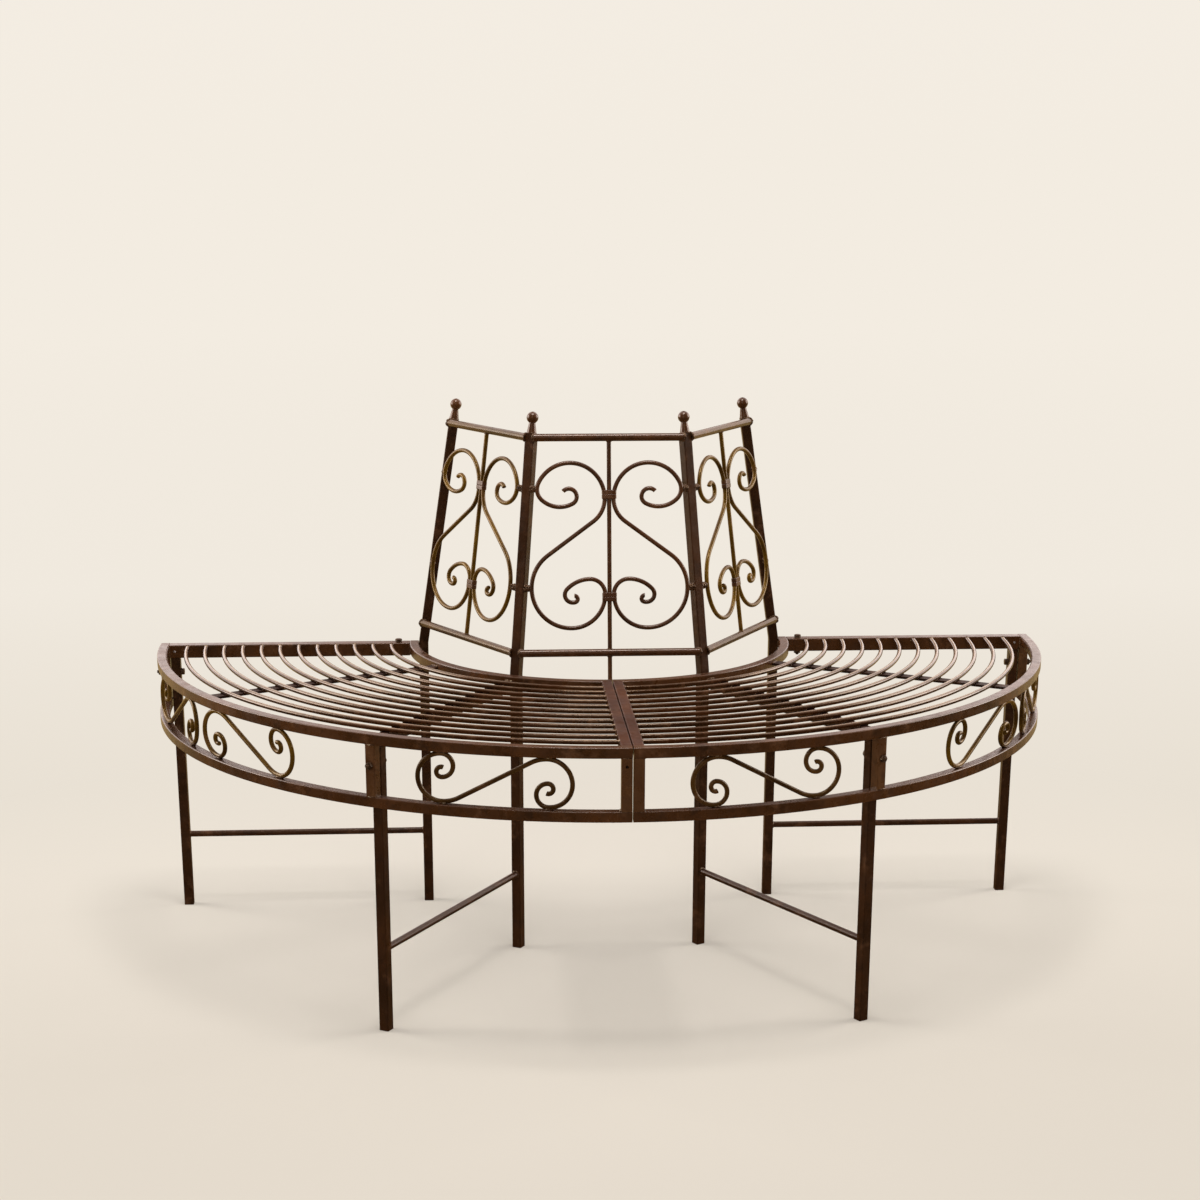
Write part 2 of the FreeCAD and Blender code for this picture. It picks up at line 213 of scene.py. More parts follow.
# %% Patches, layers and bumps
def noise(tree, coords, scale, detail=3.0, rough=0.55):
    """A noise texture that repeats about this many times in a metre."""
    node = tree.nodes.new("ShaderNodeTexNoise")
    node.inputs["Scale"].default_value = scale
    node.inputs["Detail"].default_value = detail
    node.inputs["Roughness"].default_value = rough
    tree.links.new(coords.outputs["Object"], node.inputs["Vector"])
    return node.outputs["Fac"]


def patches(tree, coords, scale, edge, detail=3.0, rough=0.55):
    """A mask of patches; edge is the pair of noise values between which it fades in."""
    return ramp(tree, noise(tree, coords, scale, detail, rough), *edge)


def upward(tree, low, high):
    """A mask that is 1 on faces that look up and 0 on the others."""
    geometry = tree.nodes.new("ShaderNodeNewGeometry")
    return ramp(tree, coordinate(tree, geometry.outputs["Normal"], "Z"), low, high)


def mix(tree, factor, first, second):
    """Two colours mixed by a mask; either may be a colour or another node's output."""
    node = tree.nodes.new("ShaderNodeMix")
    node.data_type = "RGBA"
    tree.links.new(factor, node.inputs["Factor"])
    for socket, value in (("A_Color", first), ("B_Color", second)):
        feed(tree, value, [i for i in node.inputs if i.identifier == socket][0])
    return [o for o in node.outputs if o.identifier == "Result_Color"][0]


def layer(tree, under, mask, amount, colour):
    """A colour laid over another where the mask is, as strongly as the amount says."""
    return mix(tree, scaled(tree, mask, amount), under, colour)


def bumped(tree, shader, height, distance, strength):
    """Feeds a height into the shader's normal; distance is the height of the bumps in metres."""
    node = tree.nodes.new("ShaderNodeBump")
    node.inputs["Distance"].default_value = distance
    node.inputs["Strength"].default_value = strength
    tree.links.new(height, node.inputs["Height"])
    tree.links.new(node.outputs["Normal"], shader.inputs["Normal"])


print("look helpers: noise, patches, upward, mix, layer, bumped")

# %% [markdown]
# ### The bronze powder coat
#
# The colour is built from below, as on the real bench. First comes the powder itself: two tones
# in large clouds, darker where it pooled, paler where it is thin, with fine specks. Years
# outdoors then add worn streaks and rust spots. On what looks up lies a film that is partly dust
# and partly a painted sheen, the sky's reflection put into the colour. On the rods near both ends
# a thin cream line is painted along the crest: a painted highlight.

# %% Colours of the coat and its faults
POOLED = linear(30, 15, 6)
THIN = linear(128, 88, 60)
SPECK = linear(104, 72, 52)
WORN = linear(176, 150, 128)
RUST = linear(112, 54, 26)
# the cream of the painted highlight along the crests of the rods
PAINTED_CREST_HIGHLIGHT = linear(234, 200, 158)
# the tone of the film on the tops: dust, and a painted sheen of the sky
GREY_DUST_AND_SHEEN = (150, 136, 134)


def powder_tone(tree, coords, deep, warm):
    """The fresh coat: two tones in clouds, with pooled, thin and speckled places."""
    tone = mix(tree, patches(tree, coords, 11, (0.36, 0.66), detail=4), deep, warm)
    pooled = patches(tree, coords, 38, (0.52, 0.66), detail=5, rough=0.7)
    tone = layer(tree, tone, pooled, 0.5, POOLED)
    thin = patches(tree, coords, 26, (0.55, 0.70), detail=5, rough=0.7)
    tone = layer(tree, tone, thin, 0.4, THIN)
    specks = patches(tree, coords, 420, (0.60, 0.72), detail=2)
    return layer(tree, tone, specks, 0.25, SPECK)


def worn_streaks(tree, coords):
    """A mask of streaks that clothes have rubbed on faces that look up."""
    streaks = patches(tree, coords, 55, (0.50, 0.64), detail=5, rough=0.7)
    return joined(tree, "MULTIPLY", streaks, upward(tree, 0.2, 0.9))


def dust_and_sheen_film(tree, coords):
    """A mask of a dusty film with a painted sheen, uneven and only on what looks almost straight
    up.
    """
    film = patches(tree, coords, 24, (0.30, 0.75), detail=5, rough=0.65)
    return joined(tree, "MULTIPLY", upward(tree, 0.55, 0.98), film)


def painted_highlight_line(tree, coords):
    """A painted highlight mask: thin lines along the tops, from 0.1 m beside the middle on, full
    at 0.4 m.
    """
    aside = unsigned(tree, coordinate(tree, coords.outputs["Object"], "X"))
    line = joined(tree, "MULTIPLY", upward(tree, 0.80, 0.96), ramp(tree, aside, 0.10, 0.40))
    gaps = patches(tree, coords, 30, (0.20, 0.55), detail=4, rough=0.7)
    return joined(tree, "MULTIPLY", line, gaps)


print("dust in the shader's numbers:", [round(v, 3) for v in linear(*GREY_DUST_AND_SHEEN)[:3]])

# %% [markdown]
# The gloss comes from the shader: a satin base under a thin clear layer. Such a coat reflects
# little where it is looked at squarely, and much at a flat angle: that is why the fronts of the
# bars stay dark while their tops and flanks shine. The shine knob sets how strong the reflection
# is, and the tint gives it the bronze's own warmth. The roughness varies a little from place to
# place, so that no reflection has an even edge.

# %% The bronze powder coat
ROUGH_SPREAD = 0.40
CLEAR_SHARE = 0.3
CLEAR_ROUGHNESS = 0.14
SAG_SHARE = 3.0
POWDER_BUMPS = 0.00012


def bronze(name, deep, warm, dust_and_sheen=0.1, dust_and_sheen_tone=GREY_DUST_AND_SHEEN, gloss=0.36, rubbed=0.0, rust=0.0,
           shine=0.5, crest=0.0, tint=(255, 228, 208)):
    """Dark bronze powder coat. deep and warm are its two tones; dust sets the dusty film on top,
    with its painted sheen.

    gloss is its mean roughness, and crest the strength of the painted highlight line along the
    top.
    """
    mat, tree, shader, coords = new_material(name)
    tone = powder_tone(tree, coords, linear(*deep), linear(*warm))
    if rubbed:
        tone = layer(tree, tone, worn_streaks(tree, coords), rubbed, WORN)
    if rust:
        spots = patches(tree, coords, 130, (0.58, 0.70), detail=5, rough=0.75)
        tone = layer(tree, tone, spots, rust, RUST)
    # painted sheen: the film on upward faces is partly dust and partly a painted reflection
    tone = layer(tree, tone, dust_and_sheen_film(tree, coords), dust_and_sheen, linear(*dust_and_sheen_tone))
    # painted highlight: a cream line along the tops near both ends
    if crest:
        tone = layer(tree, tone, painted_highlight_line(tree, coords), crest, PAINTED_CREST_HIGHLIGHT)
    tree.links.new(tone, shader.inputs["Base Color"])
    uneven = noise(tree, coords, 60, detail=4)
    rough = scaled(tree, uneven, ROUGH_SPREAD, gloss - ROUGH_SPREAD / 2)
    tree.links.new(rough, shader.inputs["Roughness"])
    shader.inputs["Specular IOR Level"].default_value = shine
    shader.inputs["Specular Tint"].default_value = linear(*tint)
    shader.inputs["Coat Weight"].default_value = CLEAR_SHARE * shine
    shader.inputs["Coat Roughness"].default_value = CLEAR_ROUGHNESS
    grain = noise(tree, coords, 900, detail=2)
    sag = scaled(tree, noise(tree, coords, 70, detail=2), SAG_SHARE)
    bumped(tree, shader, joined(tree, "ADD", sag, grain), POWDER_BUMPS, 0.7)
    return mat


print("a coat's roughness spreads over", ROUGH_SPREAD)

# %% [markdown]
# The recipe has a few knobs: all pieces were sprayed from one gun but have aged differently, and
# some coats also stand for light and shade. The seam bars lie flat and have kept rain, which has
# drawn a redder, duller tone. The apron posts get a lighter copy of the coat, as painted light,
# and the bars under the rods a darker one, as painted shade. The rods are polished by clothes and
# near both ends carry a painted highlight. Scrolls are thin round bars, and where they catch the
# light from the side they look golden; the film on their tops is golden too, partly dust and
# partly painted sheen.

# %% Eight coats from one recipe
# the rims' film on top is partly dust and partly a painted lilac sheen
frame_coat = bronze("bronze_coat", (58, 30, 7), (82, 46, 18), dust_and_sheen=0.08, gloss=0.30, shine=0.6)
leg_coat = bronze("bronze_coat_legs", (46, 23, 5), (64, 35, 12), rust=0.2, shine=0.35)
# painted light: a lighter copy of the coat for the apron posts
painted_light_post_coat = bronze("bronze_coat_posts_painted_light", (76, 44, 20), (100, 66, 36), gloss=0.30)
seam_coat = bronze("bronze_coat_seam", (62, 31, 14), (84, 47, 26),
                   gloss=0.5, rust=0.3, shine=0.1)
# painted shade: a darker copy of the coat for the bars in the shadow of the rods
painted_shade_coat = bronze("bronze_coat_painted_shade", (32, 15, 9), (46, 25, 16),
                    dust_and_sheen=0.0, gloss=0.5, shine=0.15)
# the rods' film is partly dust and partly painted sheen, and a painted highlight runs along their
# crests
rod_coat = bronze("bronze_coat_rods", (42, 19, 5), (66, 34, 14), dust_and_sheen_tone=(176, 146, 112),
                  gloss=0.17, rubbed=0.1, shine=0.65, crest=0.4, tint=(255, 212, 166))
# the scrolls' film is golden: partly dust and partly a painted golden sheen
scroll_coat = bronze("bronze_coat_scrolls", (58, 36, 5), (104, 74, 16),
                     dust_and_sheen_tone=(140, 118, 70), gloss=0.28, tint=(255, 198, 92))
front_scroll_coat = bronze("bronze_coat_front_scrolls", (50, 29, 8), (80, 52, 20),
                           gloss=0.28, tint=(255, 214, 150))
print("coats:", [mat.name for mat in bpy.data.materials if mat.name.startswith("bronze")])

# %% [markdown]
# Welds were brushed and painted over, but the coat is thin on their crests, so they shine and
# rust first. Those of the back rest are better covered. The bolts are plain zinc steel, sprayed
# along with the rest and scratched bare by the spanner since.

# %% Welds and bolts
WARM_TINT = linear(255, 214, 170)


def weld_finish(name, bright):
    """Painted weld metal: brown in the troughs, and crests that shine where they are bare."""
    mat, tree, shader, coords = new_material(name)
    grit = patches(tree, coords, 500, (0.42, 0.68), detail=4, rough=0.7)
    crest = patches(tree, coords, 240, (0.56, 0.68))
    tone = mix(tree, grit, linear(54, 32, 18), linear(104, 74, 52))
    tone = layer(tree, tone, crest, bright, linear(214, 192, 160))
    tree.links.new(tone, shader.inputs["Base Color"])
    tree.links.new(scaled(tree, grit, 0.25, 0.28), shader.inputs["Roughness"])
    tree.links.new(scaled(tree, crest, 0.7 * bright), shader.inputs["Metallic"])
    shader.inputs["Specular Tint"].default_value = WARM_TINT
    bumped(tree, shader, noise(tree, coords, 700), 0.0004, 0.8)
    return mat


def bolt_finish():
    """Sprayed zinc bolts: dark and uneven, with bare grey places."""
    mat, tree, shader, coords = new_material("bolt_steel")
    stains = patches(tree, coords, 180, (0.42, 0.62), detail=4, rough=0.7)
    bare = patches(tree, coords, 340, (0.62, 0.74))
    tone = mix(tree, stains, linear(44, 28, 18), linear(80, 58, 42))
    tone = mix(tree, bare, tone, linear(140, 122, 98))
    tree.links.new(tone, shader.inputs["Base Color"])
    tree.links.new(scaled(tree, bare, 0.8, 0.1), shader.inputs["Metallic"])
    tree.links.new(scaled(tree, stains, 0.2, 0.32), shader.inputs["Roughness"])
    shader.inputs["Specular Tint"].default_value = WARM_TINT
    bumped(tree, shader, noise(tree, coords, 900, detail=2), 0.0001, 0.6)
    return mat


weld_metal = weld_finish("weld_bead", 0.8)
back_weld_metal = weld_finish("weld_bead_back", 0.15)
bolt_steel = bolt_finish()
print("finishes:", weld_metal.name, back_weld_metal.name, bolt_steel.name)

# %% [markdown]
# ## Painting the frame
#
# Each CAD piece keeps its shape and gets the coat of its kind. The choice is made by the words in
# its name, so that left and right halves are always alike. The first word that fits decides.

# %% Give every CAD piece its coat
COATS = (
    ("seat_rods", rod_coat),
    ("seam_bar", seam_coat),
    ("scroll_welds", back_weld_metal),
    ("scroll_collars", frame_coat),
    ("back_scroll_front", frame_coat),
    ("apron_scroll_front", front_scroll_coat),
    # painted light: the apron posts get the lighter copy of the coat
    ("apron_post", painted_light_post_coat),
    ("rail_left", front_scroll_coat),
    ("rail_right", front_scroll_coat),
    ("centre_bar_front", frame_coat),
    ("scroll", scroll_coat),
    ("centre_bar", scroll_coat),
    ("bolts", bolt_steel),
    ("nuts", bolt_steel),
    ("outer_leg", leg_coat),
    ("stretcher", leg_coat),
    ("back_post", leg_coat),
    # painted shade: the bars under the rods get the darker copy of the coat
    ("seat_support", painted_shade_coat),
    ("rod_strap", painted_shade_coat),
)


def coat_for(name):
    """The first coat whose word is in the piece's name."""
    for word, coat in COATS:
        if word in name:
            return coat
    return frame_coat


for name, obj in nodes.items():
    obj.data.materials.clear()
    obj.data.materials.append(coat_for(name))
print("painted", len(nodes), "pieces")

# %% [markdown]
# ## Weld beads
#
# A weld is a row of small overlapping drops laid into the corner between two bars. From a metre
# away it is only a soft, slightly lumpy fillet, but without it bars look stuck together.
# A bead is made here as a thin tube along the line of the corner. Its thickness swells and
# shrinks a little from drop to drop, it thins out at open ends, and a fixed random seed keeps
# each bead the same every time.

# %% One bead as a lumpy tube
BEAD_SIDES = 7
WAVE = 0.16  # how far the radius swells and shrinks, as a share of itself
WAVE_STEP = 1.9  # the wave's angle from one drop to the next
WAVE_START = 6.28  # the wave starts anywhere in one full turn
JITTER = 0.14  # how much each drop differs by chance
THIN_END = 0.45  # the size of the first and last ring of an open bead
STEEP = 0.2  # below this a heading counts as upright


def square_to(heading):
    """Two directions that are square to a heading and to each other."""
    side = heading.cross(UP)
    if side.length < STEEP:
        side = heading.cross(TO_RIGHT)
    side.normalize()
    return side, heading.cross(side).normalized()


def bead_ring(bm, centre, heading, radius):
    """One ring of the tube."""
    side, other = square_to(heading)
    ring = []
    for k in range(BEAD_SIDES):
        t = 2 * math.pi * k / BEAD_SIDES
        ring.append(bm.verts.new(centre + (side * math.cos(t) + other * math.sin(t)) * radius))
    return ring


def bead_mesh(bm, points, closed, size, luck):
    """Adds one lumpy tube along the points to a bmesh."""
    rings = []
    count = len(points)
    shift = luck.random() * WAVE_START
    for i, point in enumerate(points):
        ahead = points[(i + 1) % count] if closed or i + 1 < count else point
        behind = points[i - 1] if closed or i > 0 else point
        swell = 1.0 + WAVE * math.sin(i * WAVE_STEP + shift) + JITTER * (luck.random() - 0.5)
        if not closed and i in (0, count - 1):
            swell *= THIN_END
        rings.append(bead_ring(bm, point, (ahead - behind).normalized(), size * swell))
    for i in range(count if closed else count - 1):
        a, b = rings[i], rings[(i + 1) % count]
        for k in range(BEAD_SIDES):
            bm.faces.new((a[k], a[(k + 1) % BEAD_SIDES], b[(k + 1) % BEAD_SIDES], b[k]))
    if not closed:
        bm.faces.new(list(reversed(rings[0])))
        bm.faces.new(rings[-1])


print("a bead has", BEAD_SIDES, "sides and swells by", WAVE)

# %% [markdown]
# Most corners on the bench are one of four kinds: a straight edge, an upright edge, the four
# sides round the end of a square bar, or the ring round the end of a round one. Each kind notes
# its beads in a list, and the meshes are built from the lists at the end.

# %% Lines for the beads
DROP = 0.0016  # the usual radius of a bead
DROP_STEP = 0.0022  # from one drop to the next
EDGE_START = 0.001  # how far above its foot an upright bead starts
SUNK = 0.0004  # how deep a bead sits in the bars' faces
beads = {}


def bead(group, points, closed=False, size=DROP):
    """Notes a bead for one of the weld groups; size is its radius."""
    beads.setdefault(group, []).append((points, closed, size))


def stepped(a, b):
    """Points from a to b, about a drop apart."""
    count = max(2, int((b - a).length / DROP_STEP))
    return [a.lerp(b, i / count) for i in range(count)]


def upright_bead(group, foot, length, size):
    """A bead up an edge; it starts a little above the edge's foot."""
    low = foot + UP * EDGE_START
    bead(group, stepped(low, low + UP * length), size=size)


def square_bead(group, centre, u, v, size):
    """A bead round a square bar's end, sunk a little; u and v are the directions of its sides."""
    half = BAR / 2 - SUNK
    signs = ((1, 1), (-1, 1), (-1, -1), (1, -1))
    corners = [centre + u * half * a + v * half * b for a, b in signs]
    for i in range(4):
        bead(group, stepped(corners[i], corners[(i + 1) % 4]), size=size)


def around(count):
    """Evenly spaced angles for a closed ring."""
    return [2 * math.pi * i / count for i in range(count)]


def ring_bead(group, centre, u, v, radius, size, drops):
    """A bead round a round bar's end; u and v span the circle, and may be slanted."""
    ring = [centre + u * radius * math.cos(t) + v * radius * math.sin(t) for t in around(drops)]
    bead(group, ring, closed=True, size=size)


print("drop size:", DROP, "m, one every", DROP_STEP, "m")

# %% [markdown]
# ### Where the welds are
#
# The cells below walk along the bench as a welder does: apron posts to rim and rail, seam bars to
# the rims, rods to the seam bars and to the bars under them, legs to stretchers, and the panels
# of the back rest to their posts. Right and left halves are done by one loop over the sign of x.
# The posts at the seam stand at the very front of the bench. Their beads are set back a little,
# so that nothing stands out past the rims.

# %% Welds of the seat and apron
HALVES = ((1, "welds_right_half"), (-1, "welds_left_half"))
APRON_POSTS = (0, 60)
POST_BEAD = 0.0013
SET_BACK = 0.0012
SET_ASIDE = 0.0010
SEAM_BEAD = 0.0015
SEAM_LENGTH = BAR - 0.0025
ROD_BEAD = 0.0012
ROD_RING = ROD / 2 - 0.0001
ROD_DROPS = 12


def half_angle(degrees, side):
    """An angle of the right half, or its mirror image."""
    return degrees if side > 0 else 180 - degrees


def seam_y(radius):
    """How far back a circle round the tree crosses the side of the seam bars."""
    return CENTRE_Y - math.sqrt(radius ** 2 - SEAM_SIDE ** 2)


for side, group in HALVES:
    for degrees in APRON_POSTS:
        at = half_angle(degrees, side)
        for z in (APRON_TOP, RIM_BOTTOM):
            square_bead(group, place(OUTER - BAR / 2, at, z), outwards(at), along(at), POST_BEAD)
    seam_post = Vector((side * (SEAM_GAP + BAR / 2), CENTRE_Y - OUTER + BAR / 2, 0))
    seam_post += Vector((side * SET_ASIDE, SET_BACK, 0))
    for z in (APRON_TOP, RIM_BOTTOM):
        square_bead(group, seam_post + UP * z, TO_RIGHT, TO_BACK, POST_BEAD)
    for radius in (OUTER - BAR, INNER):
        foot = Vector((side * SEAM_SIDE, seam_y(radius), RIM_BOTTOM))
        upright_bead(group, foot, SEAM_LENGTH, SEAM_BEAD)
    for radius in ROD_RADII:
        middle = Vector((side * SEAM_SIDE, seam_y(radius), RIM_TOP - ROD / 2))
        ring_bead(group, middle, TO_BACK, UP, ROD_RING, ROD_BEAD, ROD_DROPS)
print("groups so far:", {k: len(v) for k, v in beads.items()})

# %% [markdown]
# Two bars cross under the rods of each half: a flat strap, and a square support over the front
# leg pair. Each rod lies on them and is tacked to them by one short bead on each side.

# %% Welds under the rods
STRAP_ANGLE = 30
SUPPORT_ANGLE = 60
STRAP_HALF = 0.010
TACK_REACH = 0.0028
TACK_POINTS = (-1, -0.3, 0.3, 1)
CROSS_BEAD = 0.0018


def under_rods(group, degrees, half_width):
    """Small tacks on both sides of a bar, where each rod lies on it."""
    reach = outwards(degrees) * TACK_REACH
    for radius in ROD_RADII:
        for edge in (-1, 1):
            turn = math.degrees(half_width / radius) * edge
            middle = place(radius, degrees + turn, SUPPORT_TOP + SUNK)
            bead(group, [middle + reach * part for part in TACK_POINTS])


for side, group in HALVES:
    under_rods(group, half_angle(STRAP_ANGLE, side), STRAP_HALF)
    under_rods(group, half_angle(SUPPORT_ANGLE, side), BAR / 2)
    for degrees, half in ((STRAP_ANGLE, STRAP_HALF), (SUPPORT_ANGLE, BAR / 2)):
        at = half_angle(degrees, side)
        for radius in (INNER, OUTER - BAR):
            end = place(radius, at, SUPPORT_TOP)
            bead(group, stepped(end + along(at) * half, end - along(at) * half), size=CROSS_BEAD)
print("with the tacks:", {k: len(v) for k, v in beads.items()})

# %% [markdown]
# Each leg pair has a round stretcher with a ring of weld at both ends, and its back post is
# joined to the inner rim by two upright beads.

# %% Welds of the legs and stretchers
STRETCHER_BEAD = 0.0014
STRETCHER_DROPS = 20
POST_LENGTH = BAR - 0.002
UPRIGHT_BEAD = 0.0017

for degrees in PAIR_ANGLES:
    for radius in (LEG_IN, POST_OUT):
        middle = place(radius, degrees, STRETCHER_Z)
        ring_bead("welds_legs", middle, along(degrees), UP,
                  STRETCHER_R, STRETCHER_BEAD, STRETCHER_DROPS)
    for edge in (-1, 1):
        foot = place(POST_OUT, degrees, RIM_BOTTOM) + along(degrees) * edge * BAR / 2
        upright_bead("welds_legs", foot, POST_LENGTH, UPRIGHT_BEAD)
print("leg welds:", len(beads["welds_legs"]))

# %% [markdown]
# At both ends a thicker bar closes the seat. The rims are welded to its front, and the rods run
# into it.

# %% Welds of the end bars
END_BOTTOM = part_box("right_end_bar")[0].z
END_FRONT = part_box("right_end_bar")[0].y
END_HEIGHT = RIM_TOP - END_BOTTOM
END_LENGTH = END_HEIGHT - 0.0015
END_ROD_BEAD = 0.0011

for side, group in HALVES:
    for x in (INNER, OUTER - BAR):
        foot = Vector((side * x, END_FRONT, END_BOTTOM))
        upright_bead(group, foot, END_LENGTH, UPRIGHT_BEAD)
    for radius in ROD_RADII:
        middle = Vector((side * radius, END_FRONT, RIM_TOP - ROD / 2))
        ring_bead(group, middle, TO_RIGHT, UP, ROD_RING, END_ROD_BEAD, ROD_DROPS)
print("with the end bars:", {k: len(v) for k, v in beads.items()})

# %% [markdown]
# The scrolls of the apron only touch the rim above and the rail below. Where they do so is
# easiest to find in their own meshes: at their highest and lowest points. Each such place gets
# one short bead in front and one behind.

# %% Tacks of the apron's scrolls
LEVEL_BAND = 0.0004  # points this near to the highest or lowest one touch as well
SAME_SPOT = 0.02  # touching points closer than this belong together
SCROLL_TACK = 0.0017
SCROLL_TACK_HALF = 0.007
SCROLL_TACK_ASIDE = 0.0022  # in front of the scroll's middle, or behind it
SCROLL_TACK_IN = 0.0012  # from the touching point into the scroll
APRON_MIDDLE_Z = (RIM_BOTTOM + APRON_TOP) / 2


def touch_points(name):
    """Where a scroll's mesh is highest and lowest, which is where it touches its neighbours."""
    corners = [v.co for v in nodes[name].data.vertices]
    spots = []
    for level in (max(p.z for p in corners), min(p.z for p in corners)):
        close = [p for p in corners if abs(p.z - level) < LEVEL_BAND]
        for p in sorted(close, key=lambda corner: corner.x):
            if spots and (p - spots[-1][-1]).length < SAME_SPOT:
                spots[-1].append(p)
            else:
                spots.append([p])
    return [sum(spot, Vector()) / len(spot) for spot in spots]


for word in ("right", "left"):
    for part in ("front", "middle", "end"):
        for spot in touch_points(word + "_apron_scroll_" + part):
            out = Vector((spot.x, spot.y - CENTRE_Y, 0)).normalized()
            run = out.cross(UP) * SCROLL_TACK_HALF
            shift = UP * (-SCROLL_TACK_IN if spot.z > APRON_MIDDLE_Z else SCROLL_TACK_IN)
            for face in (-1, 1):
                middle = spot + out * face * SCROLL_TACK_ASIDE + shift
                line = stepped(middle - run, middle + run)
                bead("welds_" + word + "_half", line, size=SCROLL_TACK)
print("with the apron tacks:", {k: len(v) for k, v in beads.items()})

# %% [markdown]
# ### The back rest
#
# The back rest leans, so its welds are placed in the leaning plane of each panel: a distance
# across from the panel's middle, a distance out from the posts' axes and a height up the slope.
# The posts stand at 30 degrees to the panels, which slants the rings where the rails meet them.

# %% Places on a leaning panel
PANEL_ANGLES = (30, 90, 150)
FRONT_PANEL = 90
LEAN = math.radians(8.8)
POST_TURN = math.radians(30)
TILT = math.atan(math.tan(LEAN) * math.cos(POST_TURN))
POST_RADIUS = INNER - 1.5 * BAR
PANEL_OUT = 0.008  # the rails' axes lie this far out from the posts' axes
LOW_RAIL = 0.033  # up the slope, from the seat's top
HIGH_RAIL = 0.373
RAIL_R = 0.006


def on_panel(degrees, across, out, up):
    """A point of a leaning panel; degrees is 30, 90 or 150."""
    back = -out * math.cos(TILT) + up * math.sin(TILT) - POST_RADIUS * math.cos(POST_TURN)
    z = out * math.sin(TILT) + up * math.cos(TILT) + RIM_TOP
    return Vector((0, CENTRE_Y, z)) - outwards(degrees) * back - along(degrees) * across


def flank(up, out):
    """How far across a panel the side of its post is."""
    chord = (POST_RADIUS - up * math.sin(LEAN)) * math.sin(POST_TURN)
    return chord + out * math.tan(POST_TURN) - BAR / 2 / math.cos(POST_TURN)


print("half a panel between its posts:", round(flank(LOW_RAIL, PANEL_OUT), 4), "m")

# %% [markdown]
# Four kinds of weld hold a panel together. The rails end on the flanks of the posts in slanted
# rings. The scrolls stand a little way off the posts, and the gap is filled by a plug of weld,
# which gets three lumps of different size. The thin centre bar meets the rails in saddle-shaped
# rings. In the side panels it ends on the lower rail, and in front it goes on below. Last, each
# post ends under its ball in a small ring.

# %% Welds of the back rest
RAIL_BEAD = 0.0018
RAIL_DROPS = 20
SCROLL = 0.007  # the thickness of a scroll and of the centre bar
FLARE = math.radians(2)  # the scrolls turn out of the panel's plane towards the posts
SCROLL_TOUCHES = ((0.137, 0.125), (0.293, 0.115))  # height and width of a scroll's two bellies
PLUG_LUMPS = ((0.30, 0.0034, 0.0022), (0.62, 0.0032, 0.0026), (0.97, 0.0042, 0.0023))
PLUG_SQUEEZE = 0.8
PLUG_DROPS = 14
BAR_BEAD = 0.0013
BAR_DROPS = 12
BALL_HEIGHT = 0.381  # up the post, from the seat's top
BALL_NECK_R = 0.0074
BALL_BEAD = 0.0012
BALL_DROPS = 24


def rail_weld(degrees, side, up):
    """A slanted ring where a rail ends on its post."""
    ring = []
    for t in around(RAIL_DROPS):
        out = PANEL_OUT + RAIL_R * math.cos(t)
        across = side * flank(up, out)
        ring.append(on_panel(degrees, across, out, up + RAIL_R * math.sin(t)))
    bead("welds_back", ring, closed=True, size=RAIL_BEAD)


def plug_lumps(degrees, side, up, across):
    """Three lumps on the plug between a scroll and its post.

    Each has its part of the way across the gap, its ring's radius and its bead's size.
    """
    out = PANEL_OUT + (across - SCROLL) * math.tan(FLARE)
    gap = (flank(up, out) - across) * math.cos(POST_TURN)
    for part, radius, size in PLUG_LUMPS:
        reach = gap * part
        ring = []
        for t in around(PLUG_DROPS):
            slide = PLUG_SQUEEZE * radius * math.cos(t)
            aside = across + reach * math.cos(POST_TURN) + slide * math.sin(POST_TURN)
            outside = out - reach * math.sin(POST_TURN) + slide * math.cos(POST_TURN)
            ring.append(on_panel(degrees, side * aside, outside, up + radius * math.sin(t)))
        bead("welds_back", ring, closed=True, size=size)


def bar_weld(degrees, up, way):
    """A ring where the centre bar meets a rail from above, with way 1, or from below, with -1."""
    ring = []
    for t in around(BAR_DROPS):
        across = SCROLL / 2 * math.cos(t)
        out = SCROLL / 2 * math.sin(t)
        lift = way * math.sqrt(RAIL_R ** 2 - out ** 2)
        ring.append(on_panel(degrees, across, PANEL_OUT + out, up + lift))
    bead("welds_back", ring, closed=True, size=BAR_BEAD)


for degrees in PANEL_ANGLES:
    for side in (-1, 1):
        for up in (LOW_RAIL, HIGH_RAIL):
            rail_weld(degrees, side, up)
        for up, across in SCROLL_TOUCHES:
            plug_lumps(degrees, side, up, across)
    bar_weld(degrees, HIGH_RAIL, -1)
    bar_weld(degrees, LOW_RAIL, 1)
    if degrees == FRONT_PANEL:
        bar_weld(degrees, LOW_RAIL, -1)
for degrees in PAIR_ANGLES:
    radius = POST_RADIUS - BALL_HEIGHT * math.sin(LEAN)
    neck = place(radius, degrees, RIM_TOP + BALL_HEIGHT * math.cos(LEAN))
    slope = outwards(degrees) * math.cos(LEAN) + UP * math.sin(LEAN)
    ring_bead("welds_back", neck, along(degrees), slope, BALL_NECK_R, BALL_BEAD, BALL_DROPS)
print("back rest welds:", len(beads["welds_back"]))

# %% [markdown]
# The lists are now turned into meshes, one object for each group. The faces are shaded smooth,
# because a bead's seven sides should not show.

# %% Build the weld groups
def object_from(bm, name, material):
    """Turns a bmesh into an object with outward faces and one material."""
    bmesh.ops.recalc_face_normals(bm, faces=bm.faces)
    mesh = bpy.data.meshes.new(name)
    bm.to_mesh(mesh)
    bm.free()
    mesh.materials.append(material)
    obj = bpy.data.objects.new(name, mesh)
    bpy.context.scene.collection.objects.link(obj)
    return obj


